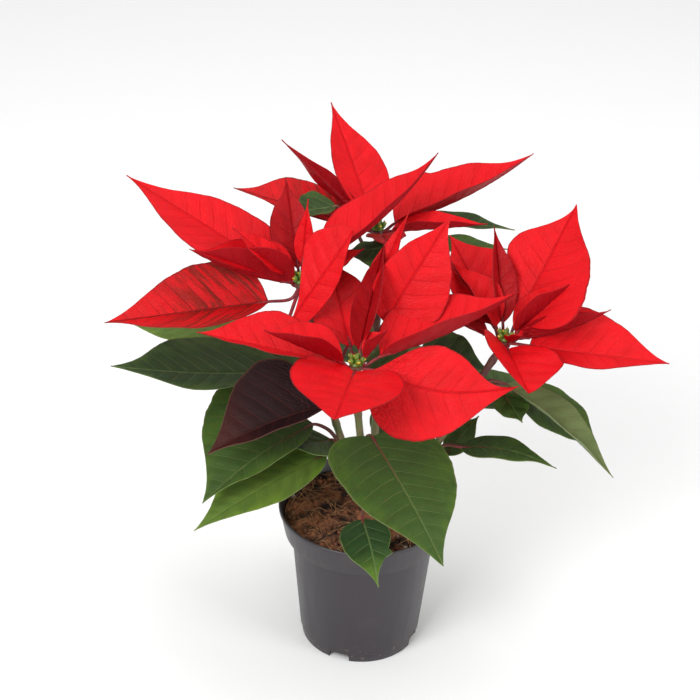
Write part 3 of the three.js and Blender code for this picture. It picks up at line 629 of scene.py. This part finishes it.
def tube(path, radii, sides=10):
    """Points and faces of a round bar along a path, with a radius for each point of it."""
    path = np.asarray(path, float)
    radii = np.broadcast_to(radii, len(path))
    steps = np.gradient(path, axis=0)
    side = np.cross(UP, steps[0])
    if np.linalg.norm(side) < NEARLY_UPRIGHT * np.linalg.norm(steps[0]):
        side = np.array([1.0, 0, 0])
    turns = np.linspace(0, 2 * np.pi, sides, endpoint=False)
    points = []
    for centre, step, radius in zip(path, steps, radii):
        step = unit(step)
        side = unit(side - step * side.dot(step))
        other = np.cross(step, side)
        points += [centre + radius * (side * math.cos(turn) + other * math.sin(turn)) for turn in turns]
    last = (len(path) - 1) * sides
    faces = ring_quads(len(path), sides)
    faces.append(tuple(range(sides - 1, -1, -1)))
    faces.append(tuple(range(last, last + sides)))
    return points, faces


def lathe(profile, sides, centre=(0, 0)):
    """Points and faces of a profile of (radius, height) turned about +Z. Both ends lie on the axis."""
    x, y = centre
    turns = np.linspace(0, 2 * np.pi, sides, endpoint=False)
    inner = profile[1:-1]
    points = [(x, y, profile[0][1])]
    for radius, height in inner:
        points += [(x + radius * math.cos(turn), y + radius * math.sin(turn), height) for turn in turns]
    points.append((x, y, profile[-1][1]))
    last = 1 + (len(inner) - 1) * sides
    faces = [(0, 1 + (j + 1) % sides, 1 + j) for j in range(sides)]
    faces += ring_quads(len(inner), sides, first=1)
    faces += [(last + j, last + (j + 1) % sides, len(points) - 1) for j in range(sides)]
    return points, faces


# ---------- blades
ROWS = 72
HALF_COLUMNS = 13
ROW_CROWDING = 0.6  # how far the rows are drawn towards the blade's two ends
COLUMN_CROWDING = 1.2  # over 1 draws the columns towards the midrib
BLADE_THICKNESS = 0.55
END_HALF_WIDTH = 0.35
DRIP = Named(start=0.6, loss=0.5)  # where the outline is drawn out finer, and how much
TOOTH = Named(reach=0.07, sharpness=1.5)
RIPPLES = ((0.008, 6, 5), (0.004, 17, 11))  # of the margin: share of the width, count, shift
VEINS = Named(slant=0.45, curve=0.007)  # how fast a side vein runs towards the tip
PUCKER = Named(bract=0.25, leaf=0.45, full=8)  # rise between veins, and the half width for all of it
WAVE = Named(height=0.8, count=2.3, shift=0.3)  # of the margin, up and down
GROOVE = Named(depth=0.5, radius=1.0, full=4)  # along the midrib above
RIB = Named(height=0.75, radius=0.7, taper=0.6)  # along the midrib below
LATE_RISE = 0.25  # share of a half's rise that comes only near its margin
SUNK_STALK = 0.1  # how far along the blade its stalk runs under it
OWN_STEP = Named(bract=0.37, head=0.21, leaf=0.29)


def blade_outline(t, root, point):
    """Half width from base to tip, as a share of the widest. The last stretch is drawn out finer."""
    widest = root / (root + point)
    last = np.clip((t - DRIP.start) / (1 - DRIP.start), 0, 1)
    last = last * last * (3 - 2 * last)
    return (t / widest) ** root * ((1 - t) / (1 - widest)) ** point * (1 - DRIP.loss * last)


def blade_axes(axis, roll):
    """The directions up from the blade's face and to its right, seen from base to tip."""
    upward = unit(UP - axis * axis[2])
    rightward = np.cross(axis, upward)
    roll = math.radians(roll)
    rolled = upward * math.cos(roll) + rightward * math.sin(roll)
    return rolled, rightward * math.cos(roll) - upward * math.sin(roll)


def blade_grid():
    """Places along the blade, from 0 to 1, and across it, from -1 at the left margin to 1."""
    steps = np.linspace(0, 1, ROWS)
    along = (0.5 - 0.5 * np.cos(np.pi * steps)) * ROW_CROWDING + steps * (1 - ROW_CROWDING)
    across = np.linspace(-1, 1, 2 * HALF_COLUMNS + 1)
    across = np.sign(across) * np.abs(across) ** COLUMN_CROWDING
    return np.meshgrid(along, across, indexing="ij")


def blade_half_width(spec, t, across, own):
    """Half width at each point of the grid, with the teeth and the ripple of the margin."""
    even = (spec.width / 2, spec.root, spec.point)
    shapes = spec.shapes or (even, even)
    half = np.where(across < 0, *(width * blade_outline(t, root, point) for width, root, point in shapes))
    for hand, place, size in spec.teeth:
        bulge = np.clip(1 - np.abs(t - place) / TOOTH.reach, 0, 1) ** TOOTH.sharpness
        half = half * (1 + size * bulge * (np.sign(across) == hand))
    ripple = sum(size * np.sin(2 * np.pi * (count * t + own * shift)) for size, count, shift in RIPPLES)
    return np.maximum(half * (1 + ripple * np.sin(np.pi * t)), END_HALF_WIDTH)


def blade_lift(t, across, half, phase, own, pucker):
    """Rise above the folded halves: the puckers, the wave of the margin and the midrib's groove."""
    away, arch = np.abs(across), np.sin(np.pi * t)
    swell = np.sqrt(np.clip(away * (1 - away) * 4, 0, 1)) * np.clip(half / PUCKER.full, 0, 1)
    lift = -np.cos(2 * np.pi * phase) * pucker * swell * np.sqrt(arch)
    turn = 2 * np.pi * (WAVE.count * t + own + WAVE.shift * (across > 0))
    lift += WAVE.height * away**2 * arch * np.sin(turn)
    groove = np.exp(-((half * away / GROOVE.radius) ** 2))
    return lift - GROOVE.depth * groove * np.clip(half / GROOVE.full, 0, 1)


def blade_faces(shape):
    """Quads of the upper face, of the lower face with the same grid, and of the margin between."""
    count = shape[0] * shape[1]
    grid = np.arange(count).reshape(shape)
    upper = np.stack([grid[:-1, :-1], grid[:-1, 1:], grid[1:, 1:], grid[1:, :-1]], axis=2).reshape(-1, 4)
    lower = upper[:, ::-1] + count
    rim = np.concatenate([grid[0, :-1], grid[:-1, -1], grid[-1, :0:-1], grid[:0:-1, 0]])
    following = np.roll(rim, -1)
    margin = np.stack([rim, rim + count, following + count, following], axis=1)
    return np.vstack([upper, lower, margin]).tolist()


def add_blade(builder, spec, base, axis, length, slot, own, pucker):
    """Adds the blade that spec describes, and returns the point where its stalk ends, under it.

    own is a number from 0 to 1 that is the blade's alone.
    """
    upward, rightward = blade_axes(axis, spec.roll)
    t, across = blade_grid()
    away, hand, arch = np.abs(across), np.sign(across), np.sin(np.pi * t)
    half = blade_half_width(spec, t, across, own)
    reach = half * away
    fold = np.radians(np.where(across < 0, *spec.fold))
    sweep, lobe = np.where(across < 0, *spec.sweep), np.where(across < 0, *spec.lobe)
    forward = length * t + (sweep - lobe * (1 - t) ** 2) * reach
    phase = (length * t - VEINS.slant * reach - VEINS.curve * reach**2) / VEIN_SPACING
    phase += 0.5 * (across > 0) + own
    rise = spec.bow * arch + reach * np.sin(fold) * (1 - LATE_RISE + LATE_RISE * away)
    rise += blade_lift(t, across, half, phase, own, pucker)
    aside = spec.sway * arch + hand * reach * np.cos(fold)
    middle = (
        base + np.multiply.outer(forward, axis) + np.multiply.outer(aside, rightward)
        + np.multiply.outer(rise, upward))
    outward = np.cross(np.gradient(middle, axis=1), np.gradient(middle, axis=0))
    outward /= np.linalg.norm(outward, axis=2, keepdims=True)
    rib = RIB.height * np.exp(-((reach / RIB.radius) ** 2)) * (1 - t) ** RIB.taper
    top = middle + outward * BLADE_THICKNESS / 2
    bottom = middle - outward * (BLADE_THICKNESS / 2 + rib)[..., None]
    place = np.stack([phase, reach, np.full_like(t, own)], axis=2)
    kinds = [np.stack([t, away, np.full_like(t, under)], axis=2) for under in (0, 1)]
    faces = blade_faces(t.shape)
    builder.add(np.stack([top, bottom]), faces, slot, np.stack([place, place]), np.stack(kinds))
    row = int(np.searchsorted(t[:, 0], SUNK_STALK))
    return middle[row, HALF_COLUMNS] - outward[row, HALF_COLUMNS] * BLADE_THICKNESS


# ---------- heads
GAP = 0.3  # air between two pieces that touch
HUB = Named(radius=4.6, height=5, overlap=0.2)  # overlap: how far a shoot runs into it
HUB_FOOT = ((0, 0), (2.9, 0), (3.8, 1.2))  # below: radius, and height above its foot
HUB_CROWN = ((4.6, 1), (4.2, 0), (0, 0))  # above: radius, and depth under its top
BRACT_STALK_RADII = (1.375, 0.88)
BRACT_LOOKS = ("bract", "bract_young", "bract_turning")
CYATHIA = Named(count=5, ring=3.2, lean=0.25, stagger=0.4, middle_rise=2, stamens=4)
BOSS = ((0, 0), (3.9, 0), (4.1, 0.8), (3.2, 1.8), (0, 2.2))
CUP_HEIGHTS = np.array([0, 0.6, 1.4, 2.4, 3.5, 4.5, 5.2, 5.7, 5.9])
CUP_RADII = np.array([0.7, 1.1, 1.55, 1.85, 1.9, 1.6, 1.15, 0.7, 0.35])
CUP_SIZES = (0.88, 1.0)
GLAND = Named(height=4.3, out=1.1, length=2.2, bulge=0.5, radii=(0.25, 0.5, 0.6, 0.6, 0.5, 0.25))
STAMENS = Named(height=5.4, spread=0.35, lengths=(0.6, 1.3), radii=(0.14, 0.14, 0.22))


def add_head(name):
    """One whorl of bracts: the blades, their stalks, and the hub that the stalks grow from."""
    builder = Builder()
    heart = np.array(HEADS[name], float)
    for index, spec in enumerate(BRACTS[name]):
        own = (index * OWN_STEP.bract + len(name) * OWN_STEP.head) % 1
        axis = heading(spec.bearing, spec.climb)
        start = heart + spec.start
        base = start + axis * spec.stalk
        slot = BRACT_LOOKS.index(spec.look)
        length = spec.reach - spec.stalk
        sunk = add_blade(builder, spec, base, axis, length, slot, own, PUCKER.bract)
        shoulder = start
        if np.linalg.norm(spec.start) <= HUB.radius:
            shoulder = start + heading(spec.bearing, 0) * HUB.radius
        path = spline([heart, shoulder, base, sunk], 6)
        builder.add(*tube(path, np.linspace(*BRACT_STALK_RADII, len(path))), slot=len(BRACT_LOOKS))
    x, y, z = heart
    low, high = z - HUB.height / 2, z + HUB.height / 2
    profile = [(radius, low + rise) for radius, rise in HUB_FOOT]
    profile += [(radius, high - drop) for radius, drop in HUB_CROWN]
    builder.add(*lathe(profile, 20, (x, y)), slot=len(BRACT_LOOKS) + 1)
    materials = [BLADE_MATERIALS[look] for look in BRACT_LOOKS] + [BRACT_STALK, SHOOT_BARK]
    builder.finish(f"bracts_{name}_fine", materials, [f"bracts_{name}"])


def add_cup(builder, foot, axis, side, rng):
    """One cyathium: its cup, the gland on its lip, on this side, and its stamens."""
    path = foot + CUP_HEIGHTS[:, None] * axis
    builder.add(*tube(path, CUP_RADII * rng.uniform(*CUP_SIZES), 14))
    lip = foot + axis * GLAND.height + side * GLAND.out
    over = np.cross(axis, side) * GLAND.length
    places = np.linspace(0, 1, len(GLAND.radii))
    path = [lip + over * (u - 0.5) + side * math.sin(np.pi * u) * GLAND.bulge for u in places]
    builder.add(*tube(path, GLAND.radii, 8), slot=1)
    for _ in range(CYATHIA.stamens):
        shift = rng.normal(0, STAMENS.spread, 3)
        root = foot + axis * STAMENS.height + shift * (1, 1, 0)
        top = root + axis * rng.uniform(*STAMENS.lengths) + shift * 0.5
        builder.add(*tube([root, (root + top) / 2, top], STAMENS.radii, 5), slot=2)


def add_cyathia(name, rng):
    """The small flowers: a ring of green cups that lean out round one in the middle, on a boss."""
    builder = Builder()
    x, y, z = HEADS[name]
    floor = z + HUB.height / 2 + GAP
    builder.add(*lathe([(radius, floor + rise) for radius, rise in BOSS], 20, (x, y)))
    for index in range(CYATHIA.count):
        out = heading(360 * index / CYATHIA.count, 0)
        foot = (x, y, floor + CYATHIA.stagger * (index % 3)) + out * CYATHIA.ring
        add_cup(builder, foot, unit(UP + out * CYATHIA.lean), out, rng)
    middle = np.array([x, y, floor + CYATHIA.middle_rise])
    add_cup(builder, middle, UP, unit(np.cross(UP, [0.3, 1, 0])), rng)
    materials = [FLOWER_CUP, FLOWER_GLAND, STAMEN]
    builder.finish(f"cyathia_{name}_fine", materials, [f"cyathia_{name}"])


# ---------- leaves and stem
SHOOT_RADIUS = 2.9
LEAF_STALK_RADII = (1.5, 0.9)
LEVELLED = (1, 1, 0.3)  # how a leaf's stalk leaves the shoot: flatter than the way to its blade
KNEE = 0.1  # rise of the stalk's middle, as a share of its length
TRUNK = Named(radius=3.9, bottom=84, top=120, sway=0.4, sway_x=0.3, sway_y=0.23)
TRUNK_SWELL = Named(height=0.25, pitch=0.9, top=0.2, top_from=110)
SHOOT = Named(radius=2.55, foot=0.3, foot_reach=14)
JOINT = Named(spacing=26, shift=7, swell=0.45, reach=2.2)  # where leaves grew, along a shoot


def shoot_path(name, steps):
    return spline([FORK, *SHOOTS[name], HEADS[name]], steps)


def shoot_at(name, height):
    path = shoot_path(name, 40)
    return path[int(np.argmin(np.abs(path[:, 2] - height)))]


def add_leaf(index, name):
    """One leaf and its stalk, which leaves the shoot level and bends up to the blade."""
    builder = Builder()
    spec = LEAVES[name]
    base, tip = np.array(spec.base, float), np.array(spec.tip, float)
    length = np.linalg.norm(tip - base)
    own = (index * OWN_STEP.leaf) % 1
    sunk = add_blade(builder, spec, base, (tip - base) / length, length, 0, own, PUCKER.leaf)
    foot = shoot_at(spec.shoot, spec.height)
    towards = unit((base - foot) * LEVELLED)
    knee = (foot + base) / 2 + UP * KNEE * np.linalg.norm(base - foot)
    path = spline([foot + towards * SHOOT_RADIUS, knee, base, sunk], 8)
    builder.add(*tube(path, np.linspace(*LEAF_STALK_RADII, len(path))), slot=1)
    materials = [BLADE_MATERIALS[spec.look], LEAF_STALK]
    builder.finish(f"leaf_{name}_fine", materials, [f"leaf_{name}"])


def add_stem():
    """The trunk and its four shoots, swollen a little at the joints where leaves grew."""
    builder = Builder()
    heights = np.linspace(TRUNK.bottom, TRUNK.top, 24)
    sway_x = TRUNK.sway * np.sin(heights * TRUNK.sway_x)
    sway_y = TRUNK.sway * np.cos(heights * TRUNK.sway_y)
    swell = TRUNK_SWELL.height * np.sin(heights * TRUNK_SWELL.pitch)
    swell += np.where(heights > TRUNK_SWELL.top_from, TRUNK_SWELL.top, 0)
    builder.add(*tube(np.stack([sway_x, sway_y, heights], axis=1), TRUNK.radius + swell, 20))
    for order, name in enumerate(SHOOTS):
        path = shoot_path(name, 16)
        path = path[path[:, 2] < HEADS[name][2] - HUB.height / 2 + HUB.overlap]
        run = np.concatenate([[0], np.cumsum(np.linalg.norm(np.diff(path, axis=0), axis=1))])
        past = ((run + JOINT.shift * order) / JOINT.spacing) % 1
        from_joint = np.abs(past - 0.5) * JOINT.spacing
        radii = SHOOT.radius + JOINT.swell * np.exp(-((from_joint / JOINT.reach) ** 2))
        radii += SHOOT.foot * np.exp(-((run / SHOOT.foot_reach) ** 2))
        builder.add(*tube(path, radii, 16))
    builder.finish("stem_fine", [SHOOT_BARK], ["stem"], sharp=60)


# ---------- pot and soil
# Radii: foot, shoulder, band, rim, centre, channel. Heights: ledge, step, top, raised. And the wall.
POT_SIZE = dict(
    foot=41.5, ledge=7, shoulder=50.5, step=88, band=55.5, rim=60, top=110, centre=28, channel=31,
    raised=6, wall=1.6,
)
NOTCH = Named(count=4, first=-110, width=15, height=5.8, corner=2.5, inner=34, outer=48, below=1)
POT_SIDES = 180
WALL_STEPS = 12


def notch_cutter():
    """One object with the four drainage notches' shapes, to cut from the foot."""
    builder = Builder()
    side, corner, top = NOTCH.width / 2, NOTCH.corner, NOTCH.height
    arc = []
    for angle in np.linspace(0, np.pi / 2, 7):
        arc.append((side - corner + corner * math.cos(angle), top - corner + corner * math.sin(angle)))
    outline = [(side, -NOTCH.below)] + arc
    outline += [(-x, z) for x, z in reversed(outline)]
    count = len(outline)
    for index in range(NOTCH.count):
        out = heading(NOTCH.first + 360 * index / NOTCH.count, 0)
        over = np.cross(UP, out)
        rings = []
        for radius in (NOTCH.inner, NOTCH.outer):
            rings += [out * radius + over * x + UP * z for x, z in outline]
        faces = ring_quads(2, count)
        faces += [tuple(range(count - 1, -1, -1)), tuple(range(count, 2 * count))]
        builder.add(rings, faces)
    return link("notches", builder.mesh("notches"))


def pot_profile(foot, ledge, shoulder, step, band, rim, top, centre, channel, raised, wall):
    """The pot's section as (radius, height): from its middle, under it and up the wall, then inside."""
    floor = raised + wall
    under = [
        (0, 0), (centre, 0), (channel, raised), (foot - 2.6, raised), (foot - 1.7, 0.5), (foot - 1.2, 0),
        (foot - 0.4, 0), (foot, 0.5), (foot + 0.5, ledge), (foot + 0.9, ledge + 0.25),
    ]
    low, high = np.array([foot + 1.4, ledge + 0.8]), np.array([shoulder, step])
    side = [low + (high - low) * u for u in np.linspace(0, 1, WALL_STEPS)]
    outer = [
        (shoulder + 1, step + 0.5), (band - 1, step + 0.7), (band - 0.2, step + 1.0), (band, step + 1.6),
        (rim - 1.0, top - 3.4), (rim - 0.2, top - 2.8), (rim, top - 1.2), (rim - 0.1, top - 0.4),
        (rim - 0.5, top), (rim - 1.3, top), (rim - 1.6, top - 0.4),
    ]
    inner = [
        (band - wall, step + 1.2 + wall), (shoulder - wall, step + wall), (foot, floor + 0.6),
        (foot - 1, floor), (channel - 1, floor), (centre - 1, wall), (0, wall),
    ]
    return under + side + outer + inner


def add_pot():
    """The pot, turned from its section, with the notches cut out of its foot."""
    builder = Builder()
    builder.add(*lathe(pot_profile(**POT_SIZE), POT_SIDES))
    pot = builder.finish("pot_fine", [POT_PLASTIC], ["pot"], sharp=35)
    cutter = notch_cutter()
    cut = pot.modifiers.new("notches", "BOOLEAN")
    cut.object = cutter
    cut.operation = "DIFFERENCE"
    cut.solver = "EXACT"
    result = bpy.data.meshes.new_from_object(pot.evaluated_get(bpy.context.evaluated_depsgraph_get()))
    pot.modifiers.remove(cut)
    pot.data = result
    bpy.data.objects.remove(cutter)


SOIL_SIZE = Named(edge_radius=55.9, edge_height=101, crown=3, lump=1.2, foot_height=90, foot_share=0.94)
SOIL_GRID = Named(rings=60, sides=170, inset=0.4)
SOIL_WAVES = Named(count=40, height=0.17, pitch=0.55, turn=6)
SOIL_ROUGHNESS = 0.24
LOOSE_RADIUS = 53
CRUMBS = Named(count=520, sizes=(0.5, 2.1), stretch=(0.7, 1.3), rough=0.12, rise=0.3, grit_every=90)
CRUMB_PROFILE = ((0, -1), (0.8, -0.55), (1, 0), (0.75, 0.6), (0, 0.8))
FIBRES = Named(
    count=170, lengths=(7, 32), bend=3.5, points=9, least=4, edge=54.5, lifts=(0.2, 2.0), arch=2.4,
    rough=0.12, rise=0.3, radii=(0.14, 0.4),
)


def soil_height(x, y):
    """The soil's surface: lumpy, highest in the middle and level at the wall."""
    inward = np.clip(1 - (x**2 + y**2) / SOIL_SIZE.edge_radius ** 2, 0, 1)
    lump = np.sin(0.21 * x + 1.3) * np.cos(0.17 * y) + 0.6 * np.sin(0.37 * x - 0.29 * y)
    flat_edge = np.minimum(1, 4 * inward)
    return SOIL_SIZE.edge_height + SOIL_SIZE.crown * inward + SOIL_SIZE.lump * lump * flat_edge


def add_soil_body(builder, rng):
    """The root ball's rough top and the part of its side that could be seen."""
    rings, sides = SOIL_GRID.rings, SOIL_GRID.sides
    radii = np.linspace(0, SOIL_SIZE.edge_radius - SOIL_GRID.inset, rings + 1)[1:]
    turns = np.linspace(0, 2 * np.pi, sides, endpoint=False)
    waves = rng.normal(0, 1, (SOIL_WAVES.count, 4))
    points = [(0, 0, soil_height(0, 0))]
    for radius in radii:
        x, y = radius * np.cos(turns), radius * np.sin(turns)
        z = soil_height(x, y)
        for wave_x, wave_y, phase, size in waves:
            turn = SOIL_WAVES.pitch * (wave_x * x + wave_y * y) + SOIL_WAVES.turn * phase
            z = z + SOIL_WAVES.height * size * np.sin(turn)
        z = z + rng.normal(0, SOIL_ROUGHNESS, sides)
        points += list(zip(x, y, z))
    edge, below, share = 1 + (rings - 1) * sides, len(points), SOIL_SIZE.foot_share
    points += [(x * share, y * share, SOIL_SIZE.foot_height) for x, y, _ in points[edge:]]
    faces = [(0, 1 + j, 1 + (j + 1) % sides) for j in range(sides)]
    faces += [(a, d, c, b) for a, b, c, d in ring_quads(rings + 1, sides, first=1)]
    faces.append(tuple(range(below + sides - 1, below - 1, -1)))
    builder.add(points, faces)


def loose_place(rng):
    """A random place on the soil, evenly spread over it."""
    radius = LOOSE_RADIUS * math.sqrt(rng.uniform(0.01, 1))
    turn = rng.uniform(0, 2 * np.pi)
    return radius * math.cos(turn), radius * math.sin(turn)


def add_crumbs(builder, rng):
    for index in range(CRUMBS.count):
        x, y = loose_place(rng)
        size = rng.uniform(*CRUMBS.sizes)
        points, faces = lathe([(radius * size, height * size) for radius, height in CRUMB_PROFILE], 7)
        points = np.array(points) * rng.uniform(*CRUMBS.stretch, 3)
        points += rng.normal(0, CRUMBS.rough * size, (len(points), 3))
        at = (x, y, soil_height(x, y) + CRUMBS.rise * size)
        builder.add(points + at, faces, slot=2 if index % CRUMBS.grit_every == 0 else 0)


def add_fibres(builder, rng):
    """Coarse fibres that lie on the soil, each bent to one side and arched up a little."""
    along = np.linspace(-0.5, 0.5, FIBRES.points)
    for _ in range(FIBRES.count):
        x, y = loose_place(rng)
        turn = rng.uniform(0, np.pi)
        length = rng.uniform(*FIBRES.lengths)
        aside = rng.normal(0, FIBRES.bend) * (along**2 - 0.1)
        x = x + length * along * math.cos(turn) - aside * math.sin(turn)
        y = y + length * along * math.sin(turn) + aside * math.cos(turn)
        inside = np.hypot(x, y) < FIBRES.edge
        if inside.sum() < FIBRES.least:
            continue
        x, y = x[inside], y[inside]
        lift = rng.uniform(*FIBRES.lifts) * (1 - FIBRES.arch * along[inside] ** 2)
        lift += rng.normal(0, FIBRES.rough, len(x))
        path = np.stack([x, y, soil_height(x, y) + FIBRES.rise + lift], axis=1)
        builder.add(*tube(spline(path, 3), rng.uniform(*FIBRES.radii), 6), slot=1)


def add_soil(rng):
    """Peat: a rough surface with crumbs on it, coarse fibres and a few pale grains."""
    builder = Builder()
    add_soil_body(builder, rng)
    add_crumbs(builder, rng)
    add_fibres(builder, rng)
    builder.finish("soil_fine", [SOIL, FIBRE, GRIT], ["soil"], sharp=60)


# ---------- the floor
FLOOR_SIZE = 6.0  # metres, from the middle to each side
FLOOR_COLOUR = (0.97, 0.97, 0.97, 1)


def add_floor():
    mesh = bpy.data.meshes.new("floor")
    corners = [(x * FLOOR_SIZE, y * FLOOR_SIZE, 0) for x, y in ((-1, -1), (1, -1), (1, 1), (-1, 1))]
    mesh.from_pydata(corners, [], [(0, 1, 2, 3)])
    mesh.materials.append(Graph("floor").surface(FLOOR_COLOUR, 0.9))
    floor = link("floor", mesh)


# ---------- the whole scene
SEED = 12

bpy.context.scene.view_settings.view_transform = "Standard"
add_camera()
add_world()
for light_name, (place, size, power) in LIGHTS.items():
    add_light(light_name, place, size, power)
add_floor()
random = np.random.default_rng(SEED)
add_pot()
add_soil(random)
add_stem()
for head in HEADS:
    add_head(head)
    add_cyathia(head, random)
for number, leaf_name in enumerate(LEAVES):
    add_leaf(number, leaf_name)
